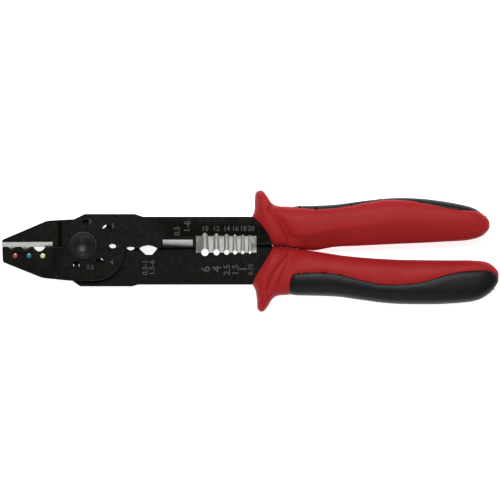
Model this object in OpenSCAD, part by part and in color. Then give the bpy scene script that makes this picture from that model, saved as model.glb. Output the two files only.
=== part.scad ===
// Combination wire stripper, crimper and small-bolt cutter.
// The tool lies flat: +Z is the pivot axis, the nose points to -X and the grips to +X.
// The origin is on the pivot axis, where the two stacked plates meet.

/* [Overall] */
// distance from the pivot axis to the nose tip
nose_len = 36.8; // [30.6:0.1:44.2]
// length of the grips behind the guards
grip_len = 107; // [89:1:129]
// thickness of the grips across their flat faces
grip_thick = 16; // [13.3:0.1:19.2]
// how far the guards stand out past the plates' edges
guard_reach = 11.8; // [9.9:0.1:14.1]

/* [Plates] */
// thickness of each stamped plate
plate_t = 3.2; // [2.7:0.1:3.84]
// height of the upper body's top edge above the pivot axis
body_top = 13.1; // [12.6:0.1:15]
// depth of the lower body's bottom edge below the pivot axis
body_low = 17.7; // [17:0.1:20]
// air between the two plates
plate_gap = 0.1; // [0.06:0.01:0.2]

/* [Pivot] */
// diameter of the rivet's shank
rivet_d = 8; // [6.7:0.1:9.6]
// radial clearance of the shank in the plates
rivet_fit = 0.04; // [0.02:0.01:0.1]
// outer diameter of the pivot washers
washer_d = 12.4; // [11.6:0.1:14]
// thickness of the pivot washers
washer_t = 0.8; // [0.6:0.1:1.2]

/* [Bolt holes] */
// core diameter of the largest threaded hole, for M5
hole_m5 = 4.2; // [3.6:0.1:4.6]
// core diameter of the threaded hole for M4
hole_m4 = 3.3; // [2.8:0.1:3.8]
// core diameter of the threaded hole for M3.5
hole_m35 = 2.9; // [2.5:0.1:3.3]
// core diameter of the threaded hole for M3
hole_m3 = 2.5; // [2.1:0.1:2.9]
// how far the tool is open when the holes of both plates line up
bolt_angle = 15; // [13:1:18]

/* [Stripper and cutter] */
// diameter of the largest stripping hole
strip_d = 3.3; // [2.75:0.05:3.6]
// each stripping hole's diameter as a share of the one before it
strip_step = 0.82; // [0.78:0.01:0.86]
// thickness left at the cutting edges
edge_land = 0.35; // [0.25:0.05:0.5]

/* [Grips] */
// thickness of the soft pads
pad_depth = 2.4; // [2:0.1:2.9]
// clearance of the tangs in the grips
tang_fit = 0.05; // [0.03:0.01:0.1]
// width across a painted size mark
mark_d = 2.2; // [1.8:0.1:2.64]

/* [Hidden] */
$fn = 48;
steel = [0.10, 0.10, 0.09];
red = [0.63, 0.16, 0.17];
black = [0.12, 0.12, 0.12];

half_gap = plate_gap / 2;
face = half_gap + plate_t;
nose_z = plate_t / 2;
far = 60;
tiny = 0.02;

// nose: the jaws' joint line, the step back to the stacked plates, and the crimping nests
joint_y = -0.8;
joint_gap = 0.2;
upper_bend = [-11.5, -9.8];
lower_bend = [-13.2, -11.7];
bend_r = 0.8;
nest_x = [for (share = [0.883, 0.712, 0.543]) -nose_len * share];
nest_w = [3.4, 4.0, 5.2];
nest_down = [1.2, 1.4, 1.7];
anvil_down = [1.2, 1.4, -0.3];
rebate_y = -2.4;
nose_bevel_y = 1.5;
nose_bevel_end = -13.7;

// body: heights of the edges that pass one another, and where each tool starts and ends
edge_y = -1.1;
edge_lap = 0.3;
cut_x = [35.8, 49.8];
cut_top = 2.8;
strip_x = [51.1, 78.4];
strip_top = 4.3;
strip_y = -3.05;
strip_at = [55.1, 60.3, 64.9, 68.7, 72.2, 75.5];
flute_more = 0.45;
flute_rise = 24;
disc_r = 9.6;
tail_joint = 0.3;
tail_x = 85;

// grips: where the guards start, and how far the tangs reach into the grips
guard_x = 76.2;
v_x = 86.9;
tang_end = v_x + 0.6 * grip_len;
grip_power = 2.8;
ring_n = 20;
span_steps = 2;
head_r = 5.9;
head_h = 2.4;
head_side = 0.15;
dish_r = 4.2;
dish_ball = 7;
tail_r = 5.3;
tail_h = 1.3;
mark_depth = 0.3;
mark_at = [for (i = [0:2]) [nest_x[i] + 1.6, -4.6]];

// [x, y, radius] of each threaded hole in the front plate
bolt_holes = [[10.7, 7.3, hole_m5 / 2], [7.6, -7.3, hole_m4 / 2],
              [-3.1, -8.65, hole_m35 / 2], [1.2, 10.4, hole_m3 / 2]];

function xy(p) = [p.x, p.y];
function unit(v) = v / norm(v);
function mix(a, b, share) = a + (b - a) * share;
function turned(p, angle) = [p.x * cos(angle) - p.y * sin(angle), p.x * sin(angle) + p.y * cos(angle)];

// The arc that rounds corner b of an outline, tangent to the sides towards a and c.
function corner(a, b, c, steps) =
    b[2] == 0 ? [xy(b)] :
    let (u = unit(xy(a) - xy(b)), v = unit(xy(c) - xy(b)))
    let (half = acos(max(-1, min(1, u * v))) / 2)
    let (from = xy(b) + u * b[2] / tan(half), mid = xy(b) + unit(u + v) * b[2] / sin(half))
    let (start = from - mid, turn = (u.x * v.y - u.y * v.x > 0 ? -1 : 1) * (180 - 2 * half))
    [for (i = [0:steps]) mid + turned(start, turn * i / steps)];

// An outline through [x, y, radius] corners, each rounded to its radius.
function rounded(points, steps = 6) =
    let (n = len(points))
    [for (i = [0:n - 1]) each corner(points[(i + n - 1) % n], points[i], points[(i + 1) % n], steps)];

// The parts of both outlines that lie inside the grips, grown by a clearance.
function upper_tang(grow) = [
    [v_x, tail_joint - grow + 1.2, 1],
    [tang_end + grow, 5.2 - grow, 2],
    [tang_end + grow, 12.6 + grow, 2],
    [v_x + 4, body_top + grow, 3]];
function lower_tang(grow) = [
    [v_x + 4, -body_low - grow, 3],
    [tang_end + grow, -18.6 - grow, 2],
    [tang_end + grow, -11.4 + grow, 2],
    [v_x + 1.5, -4.2 + grow, 1]];

// A circle segment of width w and height h that stands on the line y = 0.
module bump(w, h) {
    r = (w * w / 4 + h * h) / (2 * h);
    intersection() {
        translate([0, h - r]) circle(r = r);
        translate([-w, -tiny]) square([2 * w, 2 * h]);
    }
}

// Everything between two x values under a slope that falls from [y0, z0] to [y1, z1].
module slope_cut(x0, x1, y0, z0, y1, z1) {
    translate([x0, 0, 0]) rotate([90, 0, 90]) linear_extrude(x1 - x0) polygon([
        [y0, z0], [y1, z1], [y1 + (y1 - y0), z1], [y1 + (y1 - y0), z0 + 4], [y0, z0 + 4]]);
}

// Side view of a plate whose nose is stepped to the middle, drawn for the front plate.
module stepped_side(bend) {
    rotate([90, 0, 0]) linear_extrude(2 * far, center = true) polygon(rounded([
        [-far, -nose_z, 0],
        [bend[0], -nose_z, bend_r],
        [bend[1], half_gap, bend_r],
        [4 * far, half_gap, 0],
        [4 * far, face, 0],
        [bend[1], face, bend_r],
        [bend[0], nose_z, bend_r],
        [-far, nose_z, 0]]));
}

// The stripping holes and the flutes that lead to them, drawn for the front plate.
module strip_cuts() {
    slope_cut(strip_x[0], strip_x[1], strip_top, face, strip_y - edge_lap / 2, half_gap + edge_land);
    for (i = [0:len(strip_at) - 1]) {
        r = strip_d / 2 * pow(strip_step, i);
        flute_r = r + flute_more;
        translate([strip_at[i], strip_y, -tiny]) cylinder(r = r, h = 2 * plate_t);
        translate([strip_at[i], strip_y + r - flute_r * sin(flute_rise), half_gap + flute_r * cos(flute_rise)])
            rotate([flute_rise - 90, 0, 0]) cylinder(r = flute_r, h = 40, center = true);
    }
}

module cutter_cut() {
    slope_cut(cut_x[0], cut_x[1], cut_top, face, edge_y, half_gap + edge_land);
}

module front_outline() {
    difference() {
        union() {
            polygon(rounded(concat([
                [-nose_len, joint_y - joint_gap / 2, 0.3],
                [-nose_len + 0.4, -7.5, 1.2],
                [-18.4, -14.7, 12],
                [-6, -15.9, 0],
                [19.3, -15.9, 13.9],
                [19.3, edge_y, 0.3],
                [strip_x[0], edge_y, 0],
                [strip_x[0], strip_y - edge_lap / 2, 0],
                [strip_x[1], strip_y - edge_lap / 2, 0],
                [strip_x[1], tail_joint, 0.4],
                [v_x - 2, tail_joint, 0]],
                upper_tang(0), [
                [27, body_top, 3],
                [23.4, body_top + 1.2, 3],
                [0.8, body_top + 1.2, 2],
                [-3.8, 12.1, 1],
                [-7.1, 7.5, 1],
                [-4, 3, 0],
                [-4, joint_y - joint_gap / 2, 0]])));
            circle(r = disc_r);
        }
        for (i = [0:2]) translate([nest_x[i], joint_y - joint_gap / 2]) mirror([0, 1]) bump(nest_w[i], nest_down[i]);
        // crimping window in the disc
        polygon(rounded([[11.6, -2.9, 0.3], [13.3, -3.9, 0.2], [15, -2.9, 0.3], [15, 0.65, 1.4], [11.6, 0.65, 1.4]]));
        // the two crimping notches behind it
        translate([21.5, edge_y]) bump(4, 0.45);
        translate([29.4, edge_y]) bump(7.8, 1.1);
        translate([29.4, edge_y + 1.1]) rotate(45) square(0.5, center = true);
    }
}

module back_outline() {
    difference() {
        union() {
            polygon(rounded(concat([
                [-nose_len, joint_y + joint_gap / 2, 0.3],
                [-4, joint_y + joint_gap / 2, 0],
                [-4, -8, 0],
                [-5.6, -15.6, 0.6],
                [-1.5, -body_low - 0.8, 2],
                [22.1, -body_low - 0.8, 3],
                [24.8, -body_low, 3]],
                lower_tang(0), [
                [tail_x, tail_joint + 0.6, 1],
                [strip_x[1] - 0.1, tail_joint + 0.6, 0.4],
                [strip_x[1] - 0.1, strip_y + edge_lap / 2, 0],
                [strip_x[0] + 0.1, strip_y + edge_lap / 2, 0],
                [strip_x[0] + 0.1, edge_y + edge_lap, 0],
                [18.4, edge_y + edge_lap, 0.3],
                [18.4, 13.3, 13.2],
                [0.4, 13.2, 2],
                [-3.8, 12.0, 3],
                [-16.4, 11.3, 10],
                [-nose_len, 2.6, 1.2]])));
            circle(r = disc_r);
        }
        translate([nest_x[2], joint_y + joint_gap / 2 - tiny]) bump(nest_w[2], -anvil_down[2]);
        // crimping window in the disc
        polygon(rounded([[11.6, -1.15, 1.4], [15, -1.15, 1.4], [15, 2.3, 0.3], [13.3, 3.3, 0.2], [11.6, 2.3, 0.3]]));
        // the two crimping notches behind it
        translate([21.4, edge_y + edge_lap]) mirror([0, 1]) bump(4, 1.3);
        polygon(rounded([[25.2, 1, 0], [25.5, -1.6, 0.5], [28.2, -4.1, 0.6], [31.2, -4.1, 0.6],
            [33.3, -1.6, 0.5], [33.6, 1, 0]]));
    }
    // anvils that reach into the two smaller nests
    for (i = [0:1]) translate([nest_x[i], joint_y + joint_gap / 2]) mirror([0, 1]) bump(nest_w[i] - 0.1, anvil_down[i]);
}

module front_plate() {
    color(steel) difference() {
        intersection() {
            translate([0, 0, -far / 2]) linear_extrude(far) front_outline();
            stepped_side(lower_bend);
        }
        cylinder(r = rivet_d / 2 + rivet_fit, h = far, center = true);
        for (hole = bolt_holes) translate([hole.x, hole.y, -tiny]) cylinder(r = hole[2], h = 2 * plate_t);
        // rebate along the lower jaw's crimping edge
        translate([-nose_len - 1, rebate_y, half_gap + edge_land])
            cube([nose_len + 1 + nest_x[2] + nest_w[2] / 2, 4, 4]);
        cutter_cut();
        strip_cuts();
        for (p = mark_at) translate([p.x, p.y, nose_z - mark_depth]) cylinder(d = mark_d, h = 2);
    }
}

module back_plate() {
    color(steel) difference() {
        intersection() {
            translate([0, 0, -far / 2]) linear_extrude(far) back_outline();
            mirror([0, 0, 1]) stepped_side(upper_bend);
        }
        cylinder(r = rivet_d / 2 + rivet_fit, h = far, center = true);
        for (hole = bolt_holes) {
            p = turned(hole, bolt_angle);
            translate([p.x, p.y, -2 * plate_t]) cylinder(r = hole[2], h = 2 * plate_t + tiny);
        }
        // ground bevel along the upper jaw's crimping edge
        intersection() {
            slope_cut(-nose_len - 1, nose_bevel_end, nose_bevel_y, nose_z, joint_y - 1.4, -0.35);
            translate([0, 0, -4]) linear_extrude(12) polygon(rounded([[-nose_len - 2, -5, 0],
                [nose_bevel_end, -5, 0], [nose_bevel_end, 3, 2.4], [-nose_len - 2, 3, 0]]));
        }
        translate([0, 2 * edge_y + edge_lap, 0]) rotate([180, 0, 0]) cutter_cut();
        translate([0, 2 * strip_y, 0]) rotate([180, 0, 0]) strip_cuts();
    }
}

// A rivet with a dished head: the head bears on the front washer and the round tail on the back one.
module pivot_rivet() {
    seat = face + half_gap + washer_t;
    head_ball = (head_r * head_r + head_h * head_h) / (2 * head_h);
    tail_ball = (tail_r * tail_r + tail_h * tail_h) / (2 * tail_h);
    crest = seat + head_h - head_ball + sqrt(head_ball * head_ball - dish_r * dish_r);
    color(steel) union() {
        difference() {
            union() {
                translate([0, 0, -seat]) cylinder(d = rivet_d, h = 2 * seat);
                intersection() {
                    translate([0, 0, seat + head_h - head_ball]) sphere(r = head_ball);
                    translate([0, 0, seat]) cylinder(r = head_r - head_side, h = 2 * head_h);
                }
            }
            translate([0, 0, crest + sqrt(dish_ball * dish_ball - dish_r * dish_r)]) sphere(r = dish_ball);
        }
        intersection() {
            translate([0, 0, tail_ball - seat - tail_h]) sphere(r = tail_ball);
            translate([0, 0, -seat - 2 * tail_h]) cylinder(r = tail_r, h = 2 * tail_h);
        }
    }
}

module washer(z) {
    translate([0, 0, z]) difference() {
        cylinder(d = washer_d, h = washer_t);
        translate([0, 0, -1]) cylinder(r = rivet_d / 2 + rivet_fit, h = washer_t + 2);
    }
}

module front_washer() {
    color(steel) washer(face + half_gap);
}

module back_washer() {
    color(steel) washer(-face - half_gap - washer_t);
}

module mark(i, shade) {
    color(shade) translate([mark_at[i].x, mark_at[i].y, nose_z - mark_depth])
        cylinder(d = mark_d, h = mark_depth - tiny);
}

module red_mark() {
    mark(0, [0.75, 0.12, 0.1]);
}

module blue_mark() {
    mark(1, [0.1, 0.35, 0.7]);
}

module yellow_mark() {
    mark(2, [0.9, 0.75, 0.15]);
}

// Control sections of a grip, from the guard's front to the end:
// [inner x, inner y, outer x, outer y, half thickness, pad's share of the width that is left out]
half_thick = grip_thick / 2;
function along(share) = v_x + share * grip_len;
upper_rows = [
    [v_x, -0.1, guard_x, body_top + 0.1, half_thick - 1.4, 0.7],
    [v_x + 1.3, -0.2, guard_x + 1.3, body_top + 0.26 * guard_reach, half_thick + 0.2, 0.7],
    [v_x + 3.1, -0.35, guard_x + 1.6, body_top + 0.63 * guard_reach, half_thick + 0.6, 0.7],
    [v_x + 5.1, -0.5, guard_x + 2.8, body_top + 0.94 * guard_reach, half_thick + 0.4, 0.7],
    [v_x + 6.9, -0.7, guard_x + 5, body_top + guard_reach, half_thick - 0.3, 0.7],
    [v_x + 8.9, -0.9, guard_x + 7, body_top + 0.8 * guard_reach, half_thick - 0.9, 0.68],
    [v_x + 11, -1.15, guard_x + 9, body_top + 0.55 * guard_reach, half_thick - 0.7, 0.65],
    [v_x + 14.1, -1.6, guard_x + 12.3, body_top + 4.85, half_thick - 0.2, 0.6],
    [v_x + 18.3, -2.0, v_x + 11.1, body_top + 4.75, half_thick, 0.55],
    [along(0.255), -0.6, along(0.245), 18.4, half_thick, 0.47],
    [along(0.355), -0.1, along(0.37), 20.1, half_thick, 0.47],
    [along(0.49), 0.6, along(0.49), 21.4, half_thick, 0.56],
    [along(0.6), 1.1, along(0.6), 21.3, half_thick, 0.54],
    [along(0.712), 1.7, along(0.717), 19.9, half_thick, 0.33],
    [along(0.812), 2.4, along(0.824), 17.5, half_thick - 0.3, 0.25],
    [along(0.869), 4.0, along(0.877), 14.6, half_thick - 1.4, 0.27],
    [along(0.9), 6.7, along(0.903), 11.8, half_thick - 3.6, 0.4],
    [along(0.908), 8.6, along(0.908), 9.8, 1, 0.5]];
lower_rows = [
    [v_x, -0.5, guard_x + 0.2, -body_low + 0.1, half_thick - 1.4, 0.7],
    [v_x + 1.3, -0.65, guard_x + 1.6, -body_low - 0.22 * guard_reach, half_thick + 0.2, 0.7],
    [v_x + 3.1, -0.85, guard_x + 2.4, -body_low - 0.58 * guard_reach, half_thick + 0.6, 0.7],
    [v_x + 5.1, -1.05, guard_x + 3.1, -body_low - 0.94 * guard_reach, half_thick + 0.4, 0.7],
    [v_x + 6.9, -1.25, guard_x + 5.2, -body_low - 1.05 * guard_reach, half_thick - 0.3, 0.7],
    [v_x + 8.9, -1.45, guard_x + 7, -body_low - 0.86 * guard_reach, half_thick - 0.9, 0.68],
    [v_x + 11, -1.7, guard_x + 9, -body_low - 0.58 * guard_reach, half_thick - 0.7, 0.65],
    [v_x + 14.1, -2.1, guard_x + 12.6, -body_low - 4.9, half_thick - 0.2, 0.6],
    [v_x + 18.3, -2.75, v_x + 11.1, -body_low - 4.8, half_thick, 0.55],
    [along(0.295), -4.6, along(0.255), -23, half_thick, 0.47],
    [along(0.4), -5.6, along(0.355), -24.4, half_thick, 0.47],
    [along(0.52), -6.3, along(0.485), -26.1, half_thick, 0.56],
    [along(0.62), -6.5, along(0.62), -26.5, half_thick, 0.54],
    [along(0.73), -6.6, along(0.737), -26.2, half_thick, 0.33],
    [along(0.842), -6.7, along(0.847), -24.9, half_thick - 0.3, 0.25],
    [along(0.902), -7.7, along(0.907), -21.6, half_thick - 1.4, 0.27],
    [along(0.938), -10.8, along(0.941), -17.2, half_thick - 3.6, 0.4],
    [along(0.948), -13.2, along(0.948), -14.6, 1, 0.5]];
first_pad_row = 8;
last_pad_row = 16;

// The face without a pad slopes down from a ridge to the inner edge: for each row, the ridge's
// share of the width, and the share of the half thickness that the slope drops.
slope_rows = [
    for (i = [0:4]) [0.3, 0],
    [0.3, 0.15], [0.33, 0.35], [0.36, 0.6], [0.375, 0.68], [0.41, 0.68], [0.45, 0.64], [0.455, 0.6],
    [0.455, 0.56], [0.46, 0.5], [0.525, 0.4], [0.55, 0.25], [0.55, 0.1], [0.55, 0]];
function with_slope(rows) = [for (i = [0:len(rows) - 1]) concat(rows[i], slope_rows[i])];

// Rows between b and c on a curve that also looks at their neighbours a and d.
function blend(a, b, c, d, t) =
    (2 * b + (c - a) * t + (2 * a - 5 * b + 4 * c - d) * t * t + (3 * b - a - 3 * c + d) * t * t * t) / 2;
function dense(rows, first, last) = concat(
    [for (i = [first:last - 1]) for (k = [0:span_steps - 1])
        blend(rows[max(i - 1, 0)], rows[i], rows[i + 1], rows[min(i + 2, len(rows) - 1)], k / span_steps)],
    [rows[last]]);
function shaped(s) = sign(s) * pow(abs(s), 2 / grip_power);
function inner(row) = [row[0], row[1]];
function outer(row) = [row[2], row[3]];
function lowered(row, v) = 1 - row[7] * max(0, min(1, 1 - (1 + v) / 2 / row[6]));
function ring(row, bare) = let (c = (inner(row) + outer(row)) / 2, h = (outer(row) - inner(row)) / 2)
    [for (k = [0:ring_n - 1]) let (v = shaped(cos(360 * k / ring_n)), z = shaped(sin(360 * k / ring_n)))
        [c.x + h.x * v, c.y + h.y * v, row[4] * z * (z * bare > 0 ? lowered(row, v) : 1)]];

// A grip's outer form; bare is the side without a pad: 1 is the front and -1 the back.
module grip_loft(rows, bare) {
    all = dense(with_slope(rows), 0, len(rows) - 1);
    n = len(all);
    points = [for (row = all) each ring(row, bare)];
    near = [for (k = [0:ring_n - 1]) k];
    end = [for (k = [0:ring_n - 1]) (n - 1) * ring_n + ring_n - 1 - k];
    sides = [for (i = [0:n - 2]) for (k = [0:ring_n - 1])
        let (a = i * ring_n + k, b = i * ring_n + (k + 1) % ring_n)
        each [[a, a + ring_n, b + ring_n], [a, b + ring_n, b]]];
    faces = concat([near], sides, [end]);
    polyhedron(points, [for (f = faces) bare < 0 ? [for (i = [len(f) - 1:-1:0]) f[i]] : f]);
}

// Where the soft pad goes: a shallow pocket on one face, and a strip round the outer edge.
module pad_room(rows, side) {
    rail = dense(rows, first_pad_row, last_pad_row);
    n = len(rail);
    out = [for (i = [n - 1:-1:0]) outer(rail[i]) + 4 * unit(outer(rail[i]) - inner(rail[i]))];
    face_line = [for (row = rail) mix(inner(row), outer(row), row[5])];
    edge_line = [for (row = rail) outer(row) - pad_depth * unit(outer(row) - inner(row))];
    mirror([0, 0, side < 0 ? 1 : 0]) union() {
        translate([0, 0, half_thick - pad_depth]) linear_extrude(far) polygon(concat(face_line, out));
        translate([0, 0, pad_depth - half_thick]) linear_extrude(far) polygon(concat(edge_line, out));
    }
}

module upper_slot() {
    translate([0, 0, half_gap - tang_fit]) linear_extrude(plate_t + 2 * tang_fit) polygon(rounded(concat(
        [[guard_x - 9, body_top + tang_fit, 0], [guard_x - 9, tail_joint - tang_fit, 0],
        [v_x - 2, tail_joint - tang_fit, 0]], upper_tang(tang_fit))));
}

module lower_slot() {
    translate([0, 0, -face - tang_fit]) linear_extrude(plate_t + 2 * tang_fit) polygon(rounded(concat(
        [[guard_x - 9, -body_low - tang_fit, 0]], lower_tang(tang_fit),
        [[tail_x, tail_joint + 0.6 + tang_fit, 0], [guard_x - 9, tail_joint + 0.6 + tang_fit, 0]])));
}

module upper_grip_body() {
    color(red) difference() {
        grip_loft(upper_rows, 1);
        pad_room(upper_rows, -1);
        upper_slot();
    }
}

module upper_grip_pad() {
    color(black) intersection() {
        grip_loft(upper_rows, 1);
        pad_room(upper_rows, -1);
    }
}

module lower_grip_body() {
    color(red) difference() {
        grip_loft(lower_rows, -1);
        pad_room(lower_rows, 1);
        lower_slot();
    }
}

module lower_grip_pad() {
    color(black) intersection() {
        grip_loft(lower_rows, -1);
        pad_room(lower_rows, 1);
    }
}

back_plate();
front_plate();
pivot_rivet();
front_washer();
back_washer();
upper_grip_body();
upper_grip_pad();
lower_grip_body();
lower_grip_pad();
red_mark();
blue_mark();
yellow_mark();
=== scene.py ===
import math

import bmesh
import bpy
import numpy as np
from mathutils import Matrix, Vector


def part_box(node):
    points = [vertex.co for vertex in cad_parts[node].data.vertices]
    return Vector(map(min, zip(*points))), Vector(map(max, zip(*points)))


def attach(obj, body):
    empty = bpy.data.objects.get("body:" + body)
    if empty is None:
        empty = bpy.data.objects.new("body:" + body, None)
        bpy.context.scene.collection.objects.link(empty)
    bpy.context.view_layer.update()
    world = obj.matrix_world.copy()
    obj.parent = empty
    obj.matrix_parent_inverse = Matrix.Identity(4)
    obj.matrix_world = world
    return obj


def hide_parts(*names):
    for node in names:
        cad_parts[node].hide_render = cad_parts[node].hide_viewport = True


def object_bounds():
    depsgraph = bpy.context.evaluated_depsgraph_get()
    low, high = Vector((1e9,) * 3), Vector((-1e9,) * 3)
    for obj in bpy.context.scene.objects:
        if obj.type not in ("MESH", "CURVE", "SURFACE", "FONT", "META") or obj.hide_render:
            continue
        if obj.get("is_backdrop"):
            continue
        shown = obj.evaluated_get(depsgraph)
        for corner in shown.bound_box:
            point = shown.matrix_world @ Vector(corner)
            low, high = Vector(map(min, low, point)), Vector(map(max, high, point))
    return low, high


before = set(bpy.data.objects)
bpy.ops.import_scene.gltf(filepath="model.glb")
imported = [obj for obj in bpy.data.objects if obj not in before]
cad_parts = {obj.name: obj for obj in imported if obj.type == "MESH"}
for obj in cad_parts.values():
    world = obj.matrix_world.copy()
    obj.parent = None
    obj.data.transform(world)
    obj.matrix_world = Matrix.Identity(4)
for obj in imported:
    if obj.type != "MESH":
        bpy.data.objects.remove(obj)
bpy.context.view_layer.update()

mm = 0.001
print("frame loaded")

# camera straight above the closed tool, long lens so that the grips' sides hardly show;
# mm: the point it looks down on, the width it takes in and its height
camera = {"centre": (75.5, -2.0), "width": 226.6, "height": 1500.0}


def lookDown(values):
    data = bpy.data.cameras.new("cameraAbove")
    data.sensor_width = 36.0
    data.lens = 36.0 * values["height"] / values["width"]
    data.clip_start, data.clip_end = 0.05, 20.0
    cam = bpy.data.objects.new("cameraAbove", data)
    bpy.context.scene.collection.objects.link(cam)
    cam.location = (values["centre"][0] * mm, values["centre"][1] * mm, values["height"] * mm)
    bpy.context.scene.camera = cam


lookDown(camera)


# materials

def toLinear(hexColour):
    srgb = [int(hexColour[i:i + 2], 16) / 255 for i in (1, 3, 5)]
    return tuple(c / 12.92 if c <= 0.04045 else ((c + 0.055) / 1.055) ** 2.4 for c in srgb) + (1.0,)


def addNode(tree, kind, settings=None, inputs=None):
    # settings are the node's own properties, inputs are numbers, colours or other nodes' outputs
    node = tree.nodes.new(kind)
    for key, value in (settings or {}).items():
        setattr(node, key, value)
    for key, value in (inputs or {}).items():
        if isinstance(value, bpy.types.NodeSocket):
            tree.links.new(value, node.inputs[key])
        else:
            node.inputs[key].default_value = value
    return node


def makeFinish(name, look):
    # two close colours in patches, a roughness that wanders between two values, and a raised grain;
    # each of the three follows a noise given as (size of a spot in mm, detail), bump is (strength, mm)
    material = bpy.data.materials.new(name)
    material.use_nodes = True
    tree = material.node_tree
    tree.nodes.clear()
    shader = addNode(tree, "ShaderNodeBsdfPrincipled", inputs=look["shader"])
    addNode(tree, "ShaderNodeOutputMaterial", inputs={"Surface": shader.outputs["BSDF"]})
    place = addNode(tree, "ShaderNodeMapping", inputs={
        "Vector": addNode(tree, "ShaderNodeTexCoord").outputs["Object"],
        "Scale": look.get("stretch", (1, 1, 1))}).outputs["Vector"]
    noise = {}
    for use in ("patches", "shine", "grain"):
        if use in look:
            size, detail = look[use]
            noise[use] = addNode(tree, "ShaderNodeTexNoise", inputs={
                "Vector": place, "Scale": 1 / (size * mm), "Detail": detail}).outputs["Fac"]
    low, high = look.get("noiseRange", (0.3, 0.7))   # nearly all of a noise lies between these
    share = addNode(tree, "ShaderNodeMapRange", inputs={
        "Value": noise["patches"], "From Min": low, "From Max": high})
    first, second = look["colours"]
    colour = addNode(tree, "ShaderNodeMix", {"data_type": "RGBA"}, {
        "Factor": share.outputs["Result"], "A": toLinear(first), "B": toLinear(second)})
    tree.links.new(colour.outputs["Result"], shader.inputs["Base Color"])
    if "shine" in look:
        rough = addNode(tree, "ShaderNodeMapRange", inputs={
            "Value": noise["shine"], "From Min": low, "From Max": high,
            "To Min": look["roughness"][0], "To Max": look["roughness"][1]})
        tree.links.new(rough.outputs["Result"], shader.inputs["Roughness"])
    if "grain" in look:
        bump = addNode(tree, "ShaderNodeBump", inputs={
            "Height": noise["grain"], "Strength": look["bump"][0], "Distance": look["bump"][1] * mm})
        tree.links.new(bump.outputs["Normal"], shader.inputs["Normal"])
    return material


# stamped carbon steel, tumbled and black oxided: nearly black, a dull oily sheen, a little browner in
# patches; tumbling leaves a grain of about 0.1 mm, drawn at 0.5 mm so that it shows
steelBlack = makeFinish("burnishedSteel", {
    "shader": {"Metallic": 0.0, "IOR": 1.4, "Specular IOR Level": 0.22},
    "colours": ("#0c0c08", "#11110d"), "patches": (9, 4),
    "roughness": (0.22, 0.3), "shine": (2.5, 4),
    "grain": (0.5, 4), "bump": (0.2, 0.02)})

# the rivet and its washers: the same oxide on a headed surface, smoother, so that the dish catches the lamp;
# its grain too is drawn coarser than the real one so that it shows
steelRivet = makeFinish("rivetSteel", {
    "shader": {"Metallic": 0.0, "IOR": 1.45, "Specular IOR Level": 0.4},
    "colours": ("#0e0e0f", "#141415"), "patches": (3, 3),
    "roughness": (0.4, 0.48), "shine": (1.2, 3),
    "grain": (0.6, 3), "bump": (0.15, 0.02)})

# bare steel where the edges were ground after blackening: pale grey, with fine marks across the edge,
# 0.13 mm apart along the tool and 2 mm long
steelGround = makeFinish("groundSteel", {
    "shader": {"Metallic": 1.0}, "stretch": (6, 0.4, 0.4),
    "colours": ("#b9b9b6", "#d6d6d3"), "patches": (0.8, 5),
    "roughness": (0.38, 0.5), "shine": (0.8, 5),
    "grain": (0.8, 5), "bump": (0.3, 0.01)})

# injection-moulded polypropylene, deep red; the spark-eroded mould texture spreads its shine into a soft
# glow; the texture is about 0.1 mm, drawn at 0.45 mm so that it shows
plasticRed = makeFinish("mouldedRed", {
    "shader": {"IOR": 1.49, "Specular IOR Level": 0.13},
    "colours": ("#9c1e20", "#a42224"), "patches": (14, 3),
    "roughness": (0.5, 0.58), "shine": (4, 3),
    "grain": (0.45, 3), "bump": (0.3, 0.03)})

# thermoplastic rubber moulded over the red: black, satin, a leathery grain drawn at 0.6 mm, coarser than the
# real one so that it shows
rubberBlack = makeFinish("softBlack", {
    "shader": {"IOR": 1.5, "Specular IOR Level": 0.22},
    "colours": ("#0a0b0b", "#0f1010"), "patches": (8, 3),
    "roughness": (0.42, 0.54), "shine": (0.6, 4),
    "grain": (0.6, 4), "bump": (0.35, 0.04)})

# numbers pressed through the oxide: the strokes scatter a little more light than the plate
numberGrey = makeFinish("stampedGrey", {
    "shader": {"Metallic": 0.0, "IOR": 1.5},
    "colours": ("#242422", "#3a3a37"), "patches": (0.5, 3),
    "roughness": (0.4, 0.6), "shine": (0.5, 3)})

# a drop of enamel in a dimple: glossy, slightly uneven
enamel = {
    "shader": {"IOR": 1.5, "Coat Weight": 0.3, "Coat Roughness": 0.1},
    "patches": (0.7, 2), "roughness": (0.2, 0.32), "shine": (0.5, 2)}
paints = {
    "red_mark": makeFinish("redEnamel", {**enamel, "colours": ("#b4483f", "#9c3a34")}),
    "blue_mark": makeFinish("blueEnamel", {**enamel, "colours": ("#2c7398", "#235f82")}),
    "yellow_mark": makeFinish("yellowEnamel", {**enamel, "colours": ("#ded69e", "#d2c888")}),
}
print("materials made")


# surfaces from arrays of points

def gridFaces(rows, columns, roundClosed):
    # quads between neighbouring rows and columns; roundClosed joins the last column to the first
    i, j = np.meshgrid(np.arange(rows - 1), np.arange(columns if roundClosed else columns - 1), indexing="ij")
    k = (j + 1) % columns
    corners = [i * columns + j, (i + 1) * columns + j, (i + 1) * columns + k, i * columns + k]
    return np.stack(corners, -1).reshape(-1, 4)


def fanFaces(ring, centre, flip):
    # triangles from a ring of vertex numbers to one centre vertex
    after = np.roll(ring, -1)
    middle = np.full_like(ring, centre)
    return np.stack([ring, after, middle] if not flip else [after, ring, middle], -1)


def enclosed(points, faces):
    # volume inside the faces, negative where they look inwards
    total = 0.0
    for group in faces:
        corner = points[group]
        for a in range(1, group.shape[1] - 1):
            total += np.einsum("ij,ij->i", corner[:, 0], np.cross(corner[:, a], corner[:, a + 1])).sum() / 6
    return total


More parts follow.
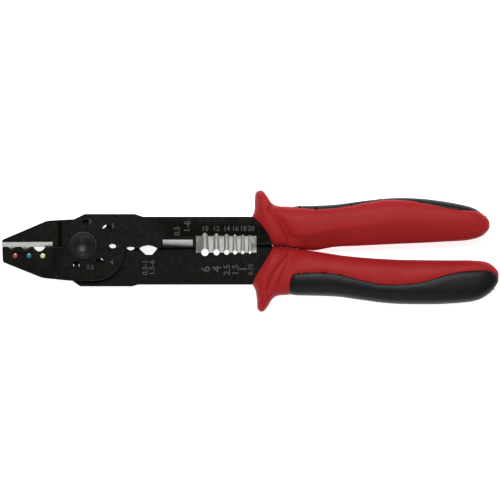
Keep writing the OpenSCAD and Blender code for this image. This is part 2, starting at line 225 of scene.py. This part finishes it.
def addPiece(name, points, faces, material, body, standsFor=(), smoothAngle=35):
    # points in millimetres, faces a list of arrays of vertex numbers; turned to look outwards
    if enclosed(points, faces) < 0:
        faces = [group[:, ::-1] for group in faces]
    mesh = bpy.data.meshes.new(name)
    mesh.from_pydata((points * mm).tolist(), [], [face for group in faces for face in group.tolist()])
    mesh.polygons.foreach_set("use_smooth", np.ones(len(mesh.polygons), bool))
    mesh.set_sharp_from_angle(angle=math.radians(smoothAngle))
    mesh.materials.append(material)
    mesh.update()
    piece = bpy.data.objects.new(name, mesh)
    bpy.context.scene.collection.objects.link(piece)
    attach(piece, body)
    if standsFor:
        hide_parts(*standsFor)
    return piece


def turnedPiece(name, profile, material, body, standsFor=(), steps=96, centre=(0, 0)):
    # a profile of (radius, height) points turned about the Z axis; ends on the axis become poles
    profile = np.asarray(profile, float)
    closed = profile[0, 0] > 0
    inner = profile if closed else profile[1:-1]
    angle = np.linspace(0, 2 * np.pi, steps, endpoint=False)
    ring = np.stack([centre[0] + inner[:, :1] * np.cos(angle), centre[1] + inner[:, :1] * np.sin(angle),
                     np.repeat(inner[:, 1:], steps, 1)], -1)
    rows = len(inner)
    points = ring.reshape(-1, 3)
    faces = [gridFaces(rows, steps, True)]
    if closed:
        around = np.arange(steps)
        last, first = (rows - 1) * steps + around, around
        faces.append(np.stack([last, first, np.roll(first, -1), np.roll(last, -1)], -1))
    else:
        poles = [[centre[0], centre[1], profile[0, 1]], [centre[0], centre[1], profile[-1, 1]]]
        points = np.vstack([points, poles])
        faces.append(fanFaces(np.arange(steps), rows * steps, False))
        faces.append(fanFaces((rows - 1) * steps + np.arange(steps), rows * steps + 1, True))
    return addPiece(name, points, faces, material, body, standsFor)


def arcProfile(centre, radius, start, end, steps):
    # points on an arc about a centre, from one angle to the other in degrees
    angle = np.radians(np.linspace(start, end, steps))
    return np.stack([centre[0] + radius * np.cos(angle), centre[1] + radius * np.sin(angle)], -1)


# plates: copies of the stamped CAD plates with broken edges and ground tool edges
plate = {
    "breakEdge": 0.2,             # mm broken off every stamped edge
    "sharpTurn": 35,              # degrees between two faces that make an edge worth breaking
    "smoothTurn": 28,             # degrees up to which two wall faces are shaded as one
    "weld": 0.002, "flatTurn": 0.8,   # mm and degrees within which the CAD's triangles are merged
    # by the upward share of its normal a face is a wall, slopes or lies flat; lean is the share along x
    "wall": 0.05, "flat": 0.999, "lean": 0.02, "slope": (0.03, 0.985), "bevelSlope": (0.2, 0.985),
    "cutterX": (35.8, 49.8), "cutterY": (-5.6, 3.6),
    "stripX": (51.1, 78.4), "stripY": (-12, 6),
    "sharpX": (50.1, 79.6), "sharpY": (-7.5, 6.0),   # the stripping edges stay sharp here
    "noseBevelX": -13.6, "noseBevelY": -2.3,
    "jointX": -9.5, "jointY": (-2.35, 1.0), "jointClose": 0.19,   # the jaws' edges meet when closed
    # the front plate's edge runs on into the grip: its corner, how near a point counts, how far it goes
    "tailCorner": (84.9, 0.3), "tailReach": 0.3, "tailLonger": 1.7,
}


def within(value, limits):
    return (value > limits[0]) & (value < limits[1])


def groundAreas(centre, normal, values, side):
    # true where a face was ground bright; side is 1 for the front plate and -1 for the back plate
    x, y, up = centre[:, 0], centre[:, 1], side * normal[:, 2]
    sloping = within(up, values["slope"])
    inCutter = within(x, values["cutterX"]) & within(y, values["cutterY"]) & sloping
    inStrip = within(x, values["stripX"]) & within(y, values["stripY"]) & sloping
    inNose = (side < 0) & (x < values["noseBevelX"]) & (y > values["noseBevelY"])
    return inCutter | inStrip | (inNose & within(normal[:, 2], values["bevelSlope"]))


def edgesToBreak(work, values):
    # 1 on the stamped edges, 0 on the working edges of the stripper, which stay sharp
    weight = np.zeros(len(work.edges), np.float32)
    limit = math.radians(values["sharpTurn"])
    for edge in work.edges:
        middle = (edge.verts[0].co + edge.verts[1].co) / 2 / mm
        working = within(middle.x, values["sharpX"]) and within(middle.y, values["sharpY"])
        if len(edge.link_faces) == 2 and edge.calc_face_angle(0) > limit and not working:
            weight[edge.index] = 1
    return weight


def fitFrontPlate(work, values):
    # lifts the lower jaw's edge to just under the upper jaw's, and carries the tail's edge on into the grip
    for vert in work.verts:
        x, y = vert.co.x / mm, vert.co.y / mm
        if x < values["jointX"] and within(y, values["jointY"]):
            vert.co.y += values["jointClose"] * mm
        if math.hypot(x - values["tailCorner"][0], y - values["tailCorner"][1]) < values["tailReach"]:
            vert.co.x += values["tailLonger"] * mm


def shadedRound(normal, values):
    # walls and turned faces are shaded round, flat faces and straight bevels flat
    lean, tall = np.abs(normal[:, 0]), np.abs(normal[:, 2])
    return (tall < values["wall"]) | ((lean > values["lean"]) & (tall < values["flat"]))


def finishedPlate(node, name, body, side, values):
    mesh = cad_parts[node].data.copy()
    mesh.name = name
    work = bmesh.new()
    work.from_mesh(mesh)
    flatTurn = math.radians(values["flatTurn"])
    bmesh.ops.remove_doubles(work, verts=work.verts, dist=values["weld"] * mm)
    bmesh.ops.dissolve_limit(work, angle_limit=flatTurn, verts=work.verts, edges=work.edges)
    if side > 0:
        fitFrontPlate(work, values)
    work.edges.index_update()
    weight = edgesToBreak(work, values)
    work.to_mesh(mesh)
    work.free()
    mesh.attributes.new("bevel_weight_edge", "FLOAT", "EDGE").data.foreach_set("value", weight)
    mesh.materials.clear()
    mesh.materials.append(steelBlack)
    mesh.materials.append(steelGround)
    count = len(mesh.polygons)
    centre, normal = np.empty(count * 3), np.empty(count * 3)
    mesh.polygons.foreach_get("center", centre)
    mesh.polygons.foreach_get("normal", normal)
    centre, normal = centre.reshape(-1, 3) / mm, normal.reshape(-1, 3)
    bright = groundAreas(centre, normal, values, side)
    mesh.polygons.foreach_set("material_index", bright.astype(np.int32))
    print(name, "ground faces", int(bright.sum()), "of", count)
    mesh.polygons.foreach_set("use_smooth", shadedRound(normal, values))
    mesh.set_sharp_from_angle(angle=math.radians(values["smoothTurn"]))
    mesh.update()
    piece = bpy.data.objects.new(name, mesh)
    bpy.context.scene.collection.objects.link(piece)
    edge = piece.modifiers.new("brokenEdges", "BEVEL")
    edge.width = values["breakEdge"] * mm
    edge.segments = 2
    edge.limit_method = "WEIGHT"
    edge.use_clamp_overlap = False
    edge.material = 0
    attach(piece, body)
    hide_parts(node)
    return piece


finishedPlate("front_plate", "frontPlate", "front_half", 1, plate)
finishedPlate("back_plate", "backPlate", "back_half", -1, plate)
print("plates finished")


# pivot: rivet with a dished head and a round tail, and its two washers, mm
pivot = {
    "headRadius": 5.9, "headHeight": 2.4, "headSide": 0.15,
    "dishRadius": 4.2, "dishBall": 7.0, "crestRound": 0.07,   # the dish's rim, its ball, the crest's rounding
    "tailRadius": 5.3, "tailHeight": 1.3, "shankRadius": 4.0, "boreGap": 0.04,
    "washerRadius": 6.2, "washerThickness": 0.8, "edge": 0.18,
    "seat": 3.3,     # the plates' outer faces, from the middle plane
}


def dishedProfile(v, seat, steps):
    # the head is the lower of a dome and the dish pressed into it, with their meeting edge rounded over
    radius = np.linspace(0, v["headRadius"] - v["headSide"], steps)
    dome = (v["headRadius"] ** 2 + v["headHeight"] ** 2) / (2 * v["headHeight"])
    outside = v["headHeight"] - dome + np.sqrt(dome ** 2 - radius ** 2)
    crest = v["headHeight"] - dome + math.sqrt(dome ** 2 - v["dishRadius"] ** 2)
    rise = math.sqrt(v["dishBall"] ** 2 - v["dishRadius"] ** 2)
    inside = crest + rise - np.sqrt(v["dishBall"] ** 2 - radius ** 2)
    k = v["crestRound"]
    lower = np.minimum(outside, inside)
    height = lower - k * np.log(np.exp((lower - outside) / k) + np.exp((lower - inside) / k))
    return np.stack([radius, seat + height], -1)


def tailProfile(v, seat, steps):
    # a spherical cap that ends in a small rounded rim
    radius, height, edge = v["tailRadius"], v["tailHeight"], v["edge"]
    ball = (radius ** 2 + (height - edge) ** 2) / (2 * (height - edge))
    reach = math.degrees(math.asin(radius / ball))
    cap = arcProfile((0, seat + height - ball), ball, 90, 90 - reach * 0.985, steps)
    rim = arcProfile((radius - edge, seat + edge), edge, 20, -90, 6)
    return np.vstack([cap, rim])


def makeRivet(v):
    top = v["seat"] + v["washerThickness"]
    head = dishedProfile(v, top, 72)
    side = np.array([[v["headRadius"] - v["headSide"], top]])
    tail = tailProfile(v, top, 24) * (1, -1)
    shank = np.array([[v["shankRadius"], top], [v["shankRadius"], -top]])
    profile = np.vstack([head, side, shank, tail[::-1]])
    turnedPiece("pivotRivet", profile, steelRivet, "back_half", ["pivot_rivet"])
    outer, hole, e = v["washerRadius"], v["shankRadius"] + v["boreGap"], v["edge"]
    for name, node, low in (("frontWasher", "front_washer", v["seat"]), ("backWasher", "back_washer", -top)):
        high = low + v["washerThickness"]
        upperEdge = arcProfile((outer - e, high - e), e, 90, 0, 6)
        lowerEdge = arcProfile((outer - e, low + e), e, 0, -90, 6)
        ring = np.vstack([upperEdge, lowerEdge, [[hole, low], [hole, high]]])
        turnedPiece(name, ring, steelRivet, "back_half", [node])


makeRivet(pivot)

# paint drops in the dimples of the lower jaw, mm; proud is how far a drop stands over the jaw
marks = {"radius": 1.1, "gap": 0.02, "bulge": 0.16, "proud": 0.05, "depth": 0.28}


def makeMarks(v):
    # a quarter of an ellipse from the drop's middle to its rim, then down and back to the middle
    rim = v["radius"] - v["gap"]
    for node, paint in paints.items():
        low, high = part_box(node)
        middle = (low + high) / 2 / mm
        top = high[2] / mm
        drop = arcProfile((0, 0), 1, 90, 0, 10) * (rim, v["bulge"]) + (0, top - v["bulge"] + v["proud"])
        drop[0, 0] = 0
        profile = np.vstack([drop, [[rim, top - v["depth"]], [0, top - v["depth"]]]])
        turnedPiece(node.replace("_mark", "Paint"), profile, paint, "front_half", [node], 48, middle[:2])


makeMarks(marks)
print("pivot and marks made")


# grips: rows from the guard's front edge to the end of the grip, each
# (inner x, inner y, outer x, outer y, half thickness), with smooth curves between rows;
# bow: mm along the tool by which the guard's front edge bows, by share of the width;
# groove: points of the furrow behind the guard
gripUpper = {
    "rows": [
        (86.9, -0.30, 76.2, 13.2, 6.6), (88.2, -0.43, 77.3, 16.2, 8.2), (90.0, -0.6, 77.5, 20.5, 8.6),
        (92.0, -0.78, 78.1, 24.0, 8.5), (93.8, -0.98, 80.9, 25.0, 8.2), (95.8, -1.18, 83.2, 22.55, 7.1),
        (97.9, -1.43, 85.2, 19.6, 7.2), (101.0, -1.85, 88.5, 17.95, 7.7), (105.2, -2.15, 98.0, 17.85, 8.0),
        (114.2, -0.6, 113.1, 18.4, 8.0), (124.9, -0.1, 126.5, 20.1, 8.0), (139.3, 0.6, 139.3, 21.4, 8.0),
        (151.1, 1.1, 151.1, 21.3, 8.0), (163.1, 1.7, 163.6, 19.9, 8.0), (173.8, 2.4, 175.1, 17.5, 7.7),
        (179.9, 4.0, 180.7, 14.6, 6.6), (183.2, 6.7, 183.5, 11.8, 4.4), (184.1, 8.6, 184.1, 9.8, 1.0)],
    "padSide": -1,
    "bow": [(0, -1.0), (0.1, -0.1), (0.26, 1.0), (0.65, 1.8), (0.9, 1.3), (1, 0.3)],
    "groove": [(84.0, 16.1), (87.6, 11.8), (90.2, 8.2), (91.5, 5.8), (92.6, 4.6)],
}
gripLower = {
    "rows": [
        (86.9, -0.31, 76.4, -17.6, 6.6), (88.2, -0.44, 77.8, -20.3, 8.2), (90.0, -0.61, 78.5, -24.55, 8.6),
        (92.0, -0.79, 78.9, -28.8, 8.5), (93.8, -0.99, 81.1, -30.0, 8.2), (95.8, -1.19, 83.5, -27.7, 7.1),
        (97.9, -1.44, 85.4, -24.55, 7.2), (101.0, -1.87, 88.8, -22.6, 7.7), (105.2, -2.65, 98.0, -22.5, 8.0),
        (118.5, -4.6, 114.2, -23.0, 8.0), (129.7, -5.6, 124.9, -24.4, 8.0), (142.5, -6.3, 138.8, -26.1, 8.0),
        (153.2, -6.5, 153.2, -26.5, 8.0), (165.0, -6.6, 165.8, -26.2, 8.0), (177.0, -6.7, 177.5, -24.9, 7.7),
        (183.4, -7.7, 183.9, -21.6, 6.6), (187.3, -10.8, 187.6, -17.2, 4.4),
        (188.3, -13.2, 188.3, -14.6, 1.0)],
    "padSide": 1,
    "bow": [(0, -1.0), (0.09, -0.25), (0.5, -0.4), (0.8, -0.5), (1, 0.2)],
    "groove": [(92.6, -4.4), (90.6, -6.8), (88.2, -10.0), (85.8, -13.2), (84.6, -15.8), (83.4, -19.8)],
}
gripShape = {
    "power": 2.8,            # how square the section is
    # the bare face's ridge, by row: how much of the half thickness is lost from the ridge to the inner edge,
    # and the ridge's share of the width
    "slopeRows": [(0, 0), (4, 0), (5, 0.15), (6, 0.35), (7, 0.6), (8, 0.68), (9, 0.68), (10, 0.64), (11, 0.6),
                  (12, 0.56), (13, 0.5), (14, 0.4), (15, 0.25), (16, 0.1), (17, 0)],
    "ridgeRows": [(5, 0.3), (6, 0.33), (7, 0.36), (8, 0.375), (9, 0.41), (10, 0.45), (11, 0.455), (12, 0.455),
                  (13, 0.46), (14, 0.525), (15, 0.55), (17, 0.55)],
    "ridgeRound": 0.03,      # share of the width over which the ridge is rounded
    "bowRows": 2.5,          # rows over which the bow of the front edge dies away
    # the soft furrow behind the guard, mm: depth, half widths towards the guard and behind, and the distance
    # from the middle plane at which it is fully deep
    "grooveDepth": 1.1, "grooveWidths": (0.9, 2.6), "groovePower": 1.3, "grooveFull": 5,
    "along": 460, "around": 220,
}
pad = {
    # by row: the share of the width left bare on the pad's own face, and how far the pad goes round the
    # section past the outer edge, in radians
    "bareShare": [(7.5, 0.52), (8, 0.49), (8.5, 0.45), (9, 0.47), (9.5, 0.515), (10, 0.55), (10.5, 0.59),
                  (11, 0.58), (11.5, 0.545), (12, 0.5), (12.5, 0.41), (13, 0.32), (13.5, 0.26), (14, 0.245),
                  (15, 0.25), (16, 0.38), (17, 0.5)],
    "wrap": [(7.3, -0.05), (7.7, 0.1), (8, 0.35), (8.5, 0.58), (9, 0.58), (9.6, 0.53), (10.1, 0.38),
             (10.6, 0.22), (11, 0.28), (11.6, 0.4), (12.1, 0.64), (12.55, 0.76), (13.05, 0.91), (13.55, 0.9),
             (14, 0.7), (14.5, 0.38), (15, 0.1), (16, -0.15)],
    "front": 93.4,                  # x of the pad's front end
    "frontRound": 3.6, "frontPower": 3.6,   # how far its corners are rounded along the grip, and how squarely
    "frontRows": (6.2, 9.6),        # the front end lies between these rows
    "end": 16.65, "endRound": 0.8,  # the row at its end, and the rows over which the end is round
    # mm: its edge lies sink under the grip's surface, its middle stands proud of it, and it rises over roll;
    # its inner skin lies at depth, which it reaches over innerRoll
    "sink": 0.6, "proud": 0.12, "roll": 3.6, "depth": 0.92, "innerRoll": 1.5,
    # mm: the red body's pocket starts rampStart outside the pad's edge and is fully deep rampWidth further
    # in; the body dips by shoulder towards the pad over shoulderWidth
    "pocket": 0.95, "rampStart": 0.45, "rampWidth": 1.4, "shoulder": 0.3, "shoulderWidth": 2.2,
}


def rowsAt(rows, t):
    # the rows at places t: a smooth curve through each row that also looks at the rows before and after
    rows = np.asarray(rows, float)
    last = len(rows) - 1
    i = np.clip(np.floor(t).astype(int), 0, last - 1)
    f = (t - i)[..., None]
    a, b, c, d = rows[np.maximum(i - 1, 0)], rows[i], rows[i + 1], rows[np.minimum(i + 2, last)]
    return (2 * b + (c - a) * f + (2 * a - 5 * b + 4 * c - d) * f ** 2 + (3 * b - a - 3 * c + d) * f ** 3) / 2


def between(table, t):
    # straight lines between the (place, value) pairs of a table
    return np.interp(t, *zip(*table))


def gripPoints(grip, t, phi):
    # a point goes from the middle of its row by v half widths towards the outer edge and z half thicknesses
    # up, where (v, z) runs round a squared circle; the bare face slopes from its ridge down to the inner
    # edge, and the first rows are bowed
    row = rowsAt(grip["rows"], t)
    inner, outer, half = row[..., 0:2], row[..., 2:4], row[..., 4]
    power = 2 / gripShape["power"]
    v = np.sign(np.cos(phi)) * np.abs(np.cos(phi)) ** power
    z = np.sign(np.sin(phi)) * np.abs(np.sin(phi)) ** power
    share, ridge, soft = (v + 1) / 2, between(gripShape["ridgeRows"], t), gripShape["ridgeRound"]
    past = (ridge - share + np.sqrt((ridge - share) ** 2 + soft ** 2)) / 2 / ridge
    z = np.where(z < 0, z * (1 - between(gripShape["slopeRows"], t) * past), z)
    flat = (inner + outer) / 2 + (outer - inner) / 2 * v[..., None]
    flat[..., 0] += between(grip["bow"], share) * np.exp(-(t / gripShape["bowRows"]) ** 2)
    return np.concatenate([flat, (grip["padSide"] * half * z)[..., None]], -1)


def evenPlaces(grip, start, end, count):
    # places t spaced evenly in mm along the middle, with a part of the outer edge's length added in
    fine = np.linspace(start, end, 2000)
    row = rowsAt(grip["rows"], fine)
    middle, outer, half = row[:, 0:2] + row[:, 2:4], row[:, 2:4] * 0.6, row[:, 4:5]
    path = np.concatenate([middle, outer, half], 1)
    length = np.concatenate([[0], np.cumsum(np.linalg.norm(np.diff(path, axis=0), axis=1))])
    return np.interp(np.linspace(0, length[-1], count), length, fine)


def evenAngles(grip, t, count):
    # angles spaced evenly in mm round the section at t
    fine = np.linspace(-np.pi, np.pi, 4001)
    ring = gripPoints(grip, np.full(fine.shape, t), fine)
    length = np.concatenate([[0], np.cumsum(np.linalg.norm(np.diff(ring, axis=0), axis=1))])
    return np.interp(np.linspace(0, length[-1], count, endpoint=False), length, fine)


def padEdges(t):
    # the two angles between which the pad lies at place t
    power = gripShape["power"] / 2
    v = 2 * between(pad["bareShare"], t) - 1
    upper = np.arccos(np.clip(np.sign(v) * np.abs(v) ** power, -1, 1))
    return -between(pad["wrap"], t), upper


def padAngle(t, q):
    # the angle at the place q across the pad, -1 at its wrapped edge and 1 at its edge on the face
    lower, upper = padEdges(t)
    return (lower + upper) / 2 + (upper - lower) / 2 * q


def padEnds(grip, q):
    # where the pad starts and ends at the place q across it: the front is cut at one x and has rounded
    # corners, the end is an arc
    across = np.sin(np.linspace(-1, 1, 401) * np.pi / 2)
    power = pad["frontPower"]
    corner = 1 - (1 - np.abs(across) ** power) ** (1 / power)
    fine, sample = np.meshgrid(np.linspace(*pad["frontRows"], 1500), across, indexing="ij")
    x = gripPoints(grip, fine, padAngle(fine, sample))[..., 0]
    reached = np.argmin(np.abs(x - pad["front"] - pad["frontRound"] * corner), axis=0)
    start = np.interp(q, across, fine[reached, 0])
    return start, pad["end"] - pad["endRound"] * (1 - np.sqrt(1 - np.clip(np.abs(q), 0, 1) ** 2))


def surfaceNormals(points, roundClosed):
    # the cross product of the steps along and round the grid, made one long
    if roundClosed:
        wrapped = np.concatenate([points[:, -1:], points, points[:, :1]], 1)
        around = (wrapped[:, 2:] - wrapped[:, :-2]) / 2
    else:
        around = np.gradient(points, axis=1)
    along = np.gradient(points, axis=0)
    normal = np.cross(along, around)
    length = np.linalg.norm(normal, axis=-1, keepdims=True)
    return normal / np.maximum(length, 1e-12)


def nearest(points, curve):
    # distance from every point to the closest point of a curve, worked out in blocks:
    # |p - c| squared is |p| squared + |c| squared - 2 p.c
    flat = points.reshape(-1, 3) - curve.mean(0)
    curve = curve - curve.mean(0)
    best = np.empty(len(flat))
    for start in range(0, len(flat), 8000):
        block = flat[start:start + 8000]
        square = (curve ** 2).sum(1) - 2 * block @ curve.T
        best[start:start + 8000] = square.min(1) + (block ** 2).sum(1)
    return np.sqrt(np.maximum(best, 0)).reshape(points.shape[:-1])


def smoothStep(x):
    # 3 x squared - 2 x cubed between 0 and 1, level outside
    x = np.clip(x, 0, 1)
    return x * x * (3 - 2 * x)


def padOutline(grip):
    # the pad's edge on the grip as one list of points: both long sides, then the front and the end
    across = np.sin(np.linspace(-1, 1, 301) * np.pi / 2)
    start, end = padEnds(grip, across)
    sides = []
    for q, first, last in ((1, start[-1], end[-1]), (-1, start[0], end[0])):
        t = np.linspace(first, last, 1400)
        sides.append(gripPoints(grip, t, padAngle(t, q)))
    for t in (start, end):
        sides.append(gripPoints(grip, t, padAngle(t, across)))
    return np.vstack(sides)


def furrow(points, line, widths, power):
    # 1 on the line and 0 away from it, by distance seen from the front: steep towards the guard, gentle
    # behind it
    line = np.asarray(line, float)
    steps = np.linspace(0, len(line) - 1, 160)
    curve = np.stack([np.interp(steps, np.arange(len(line)), line[:, k]) for k in (0, 1)] + [0 * steps], -1)
    distance = nearest(points * (1, 1, 0), curve)
    order = np.argsort(line[:, 1])
    behind = points[..., 0] > np.interp(points[..., 1], line[order, 1], line[order, 0])
    return np.exp(-(distance / np.where(behind, widths[1], widths[0])) ** power)


def makeGripBody(grip, outline, body, name, node):
    # closed section rows, a pocket with sloping edges under the pad, a soft shoulder round it, and the furrow
    places = evenPlaces(grip, 0, len(grip["rows"]) - 1, gripShape["along"])
    tt, pp = np.meshgrid(places, evenAngles(grip, 10.0, gripShape["around"]), indexing="ij")
    points = gripPoints(grip, tt, pp)
    normal = surfaceNormals(points, True)
    normal *= np.sign(np.einsum("ijk,ijk->ij", normal, points - points.mean(1, keepdims=True)).mean())
    lower, upper = padEdges(tt)
    q = (pp - (lower + upper) / 2) / ((upper - lower) / 2)
    start, end = padEnds(grip, q)
    inside = (np.abs(q) < 1) & (tt > start) & (tt < end)
    distance = nearest(points, outline) * np.where(inside, -1, 1)
    sunk = pad["pocket"] * smoothStep((pad["rampStart"] - distance) / pad["rampWidth"])
    sunk += pad["shoulder"] * (1 - smoothStep(distance / pad["shoulderWidth"]))
    points = points - normal * sunk[..., None]
    dip = gripShape["grooveDepth"] * furrow(points, grip["groove"], gripShape["grooveWidths"],
                                            gripShape["groovePower"])
    points[..., 2] -= dip * np.clip(points[..., 2] / gripShape["grooveFull"], -1, 1)
    rows, columns = tt.shape
    flat = np.vstack([points.reshape(-1, 3), points[0].mean(0), points[-1].mean(0)])
    faces = [gridFaces(rows, columns, True), fanFaces(np.arange(columns), rows * columns, False),
             fanFaces((rows - 1) * columns + np.arange(columns), rows * columns + 1, True)]
    addPiece(name, flat, faces, plasticRed, body, [node], 40)


def makeGripPad(grip, outline, body, name, node):
    # an outer skin whose edges roll down into the pocket, and an inner skin that shares its border
    across = np.sin(np.linspace(-1, 1, 120) * np.pi / 2)
    start, end = padEnds(grip, across)
    tt = start + (end - start) * (1 - np.cos(np.linspace(0, np.pi, 560)))[:, None] / 2
    skin = gripPoints(grip, tt, padAngle(tt, across + 0 * tt))
    row = rowsAt(grip["rows"], tt)
    middle = np.stack([(row[..., 0] + row[..., 2]) / 2, (row[..., 1] + row[..., 3]) / 2, 0 * tt], -1)
    normal = surfaceNormals(skin, False)
    normal *= np.sign(np.einsum("ijk,ijk->ij", normal, skin - middle).mean())
    distance = nearest(skin, outline)
    border = np.zeros(tt.shape, bool)
    border[[0, -1]] = border[:, [0, -1]] = True
    distance[border] = 0
    roll = np.clip(distance / pad["roll"], 0, 1)
    height = -pad["sink"] + (pad["sink"] + pad["proud"]) * np.sqrt(1 - (1 - roll) ** 2)
    depth = -pad["sink"] - (pad["depth"] - pad["sink"]) * smoothStep(distance / pad["innerRoll"])
    outer = skin + normal * height[..., None]
    inner = (skin + normal * depth[..., None])[~border]
    faces = gridFaces(*tt.shape, False)
    number = np.arange(tt.size).reshape(tt.shape)
    number[~border] = tt.size + np.arange(len(inner))
    below = number.reshape(-1)[faces][:, ::-1]
    points = np.vstack([outer.reshape(-1, 3), inner])
    addPiece(name, points, [faces, below], rubberBlack, body, [node], 60)


upperOutline, lowerOutline = padOutline(gripUpper), padOutline(gripLower)
makeGripBody(gripUpper, upperOutline, "front_half", "upperGrip", "upper_grip_body")
makeGripPad(gripUpper, upperOutline, "front_half", "upperGripPad", "upper_grip_pad")
makeGripBody(gripLower, lowerOutline, "back_half", "lowerGrip", "lower_grip_body")
makeGripPad(gripLower, lowerOutline, "back_half", "lowerGripPad", "lower_grip_pad")
print("grips made")


# pressed numbers, one mesh for each plate: (text, x, y, height, turn in degrees), all in mm
numbers = {
    "lift": 0.012, "thickness": 0.01,
    "backTop": -0.05,          # the back plate's face that is seen, where the front plate doesn't cover it
    "sizePerHeight": 1.35,     # the font's size for a digit of height 1
    "bolder": 0.02,            # by how much of its height a stroke is widened on each side
    "front": [
        ("10", 55.1, 7.6, 2.3, 0), ("12", 60.2, 7.6, 2.3, 0), ("14", 64.9, 7.6, 2.3, 0),
        ("16", 68.8, 7.6, 2.3, 0), ("18", 72.4, 7.6, 2.3, 0), ("20", 76.0, 7.6, 2.3, 0),
        ("5", 13.6, 8.8, 2.2, 0), ("3", 3.2, 10.9, 2.2, 0),
        ("4", 13.0, -7.6, 2.2, 0), ("3.5", 3.2, -9.9, 2.0, 0),
        ("1-6", 47.2, 8.6, 3.0, 90), ("0.5", 42.6, 6.6, 2.6, 90)],
    "back": [
        ("6", 55.6, -10.6, 4.2, 90), ("4", 60.6, -10.6, 4.2, 90), ("2.5", 65.1, -11.0, 3.0, 90),
        ("1.5", 69.0, -11.0, 3.0, 90), ("1", 72.6, -10.6, 3.6, 90), ("0.75", 76.0, -10.8, 2.2, 90),
        ("0.5-1", 28.0, -10.0, 2.5, 90), ("1.5-6", 31.2, -10.0, 2.5, 90)],
}


def pressedNumbers(name, entries, top, body):
    objects = []
    for i, (text, x, y, height, turn) in enumerate(entries):
        curve = bpy.data.curves.new(f"{name}{i}", "FONT")
        curve.body = text
        curve.size = height * numbers["sizePerHeight"] * mm
        curve.align_x, curve.align_y = "CENTER", "CENTER"
        curve.extrude = numbers["thickness"] * mm
        curve.offset = numbers["bolder"] * height * mm
        curve.resolution_u = 3
        holder = bpy.data.objects.new(f"{name}{i}", curve)
        bpy.context.scene.collection.objects.link(holder)
        holder.rotation_euler = (0, 0, math.radians(turn))
        holder.location = (x * mm, y * mm, top * mm)
        objects.append(holder)
    bpy.context.view_layer.update()
    work = bmesh.new()
    for holder in objects:
        mesh = bpy.data.meshes.new_from_object(holder)
        mesh.transform(holder.matrix_world)
        work.from_mesh(mesh)
        bpy.data.meshes.remove(mesh)
        bpy.data.objects.remove(holder)
    bmesh.ops.remove_doubles(work, verts=work.verts, dist=1e-7)
    mesh = bpy.data.meshes.new(name)
    work.to_mesh(mesh)
    work.free()
    mesh.materials.append(numberGrey)
    piece = bpy.data.objects.new(name, mesh)
    bpy.context.scene.collection.objects.link(piece)
    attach(piece, body)


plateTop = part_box("front_plate")[1][2] / mm
pressedNumbers("frontNumbers", numbers["front"], plateTop + numbers["lift"], "front_half")
pressedNumbers("backNumbers", numbers["back"], numbers["backTop"] + numbers["lift"], "back_half")
print("numbers made")


# floor and light: a pale floor that is lit a little from within, so that shadows stay pale
studio = {
    "floor": ("#f4f4f4", "#f0f0f0"), "floorGlow": 0.85, "floorReach": 3.0,   # reach in metres
    "zenith": 0.05, "horizon": 0.3,     # the room: dark above the lens, brighter walls
    "aim": (0.075, 0, 0),               # the lamps look at the tool's middle
    # (name, x, y, z, size, watts), metres
    "lamps": [
        ("keyLamp", 0.075, 0.5, 1.1, 0.5, 12.5),
        ("sideLamp", 0.05, -0.77, 0.66, 0.56, 1.8)],
}


def makeFloor(values):
    reach, z = values["floorReach"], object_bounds()[0][2]
    corners = [(-reach, -reach, z), (reach, -reach, z), (reach, reach, z), (-reach, reach, z)]
    mesh = bpy.data.meshes.new("studioFloor")
    mesh.from_pydata(corners, [], [(0, 1, 2, 3)])
    # matt white card with a slight cloud in it
    mesh.materials.append(makeFinish("paperWhite", {
        "shader": {"Roughness": 0.9, "Specular IOR Level": 0.2,
                   "Emission Color": (1, 1, 1, 1), "Emission Strength": values["floorGlow"]},
        "colours": values["floor"], "patches": (60, 2), "noiseRange": (0, 1)}))
    floor = bpy.data.objects.new("studioFloor", mesh)
    bpy.context.scene.collection.objects.link(floor)
    floor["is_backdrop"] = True


def makeLamps(values):
    for name, x, y, z, size, watts in values["lamps"]:
        data = bpy.data.lights.new(name, "AREA")
        data.shape, data.size, data.energy = "SQUARE", size, watts
        lamp = bpy.data.objects.new(name, data)
        bpy.context.scene.collection.objects.link(lamp)
        lamp.location = (x, y, z)
        aim = Vector(values["aim"]) - lamp.location
        lamp.rotation_euler = aim.to_track_quat("-Z", "Y").to_euler()


def makeRoom(values):
    # the room's light runs from the walls' at the horizon to the ceiling's overhead
    world = bpy.data.worlds.new("softRoom")
    world.use_nodes = True
    tree = world.node_tree
    direction = addNode(tree, "ShaderNodeTexCoord").outputs["Generated"]
    split = addNode(tree, "ShaderNodeSeparateXYZ", inputs={"Vector": direction})
    glow = addNode(tree, "ShaderNodeMapRange", {"interpolation_type": "SMOOTHSTEP"}, {
        "Value": split.outputs["Z"], "From Min": 0.1, "From Max": 0.95,
        "To Min": values["horizon"], "To Max": values["zenith"]})
    back = tree.nodes["Background"]
    back.inputs["Color"].default_value = (1, 1, 1, 1)
    tree.links.new(glow.outputs["Result"], back.inputs["Strength"])
    bpy.context.scene.world = world


makeFloor(studio)
makeLamps(studio)
makeRoom(studio)
bpy.context.scene.view_settings.view_transform = "Standard"
print("studio lit")
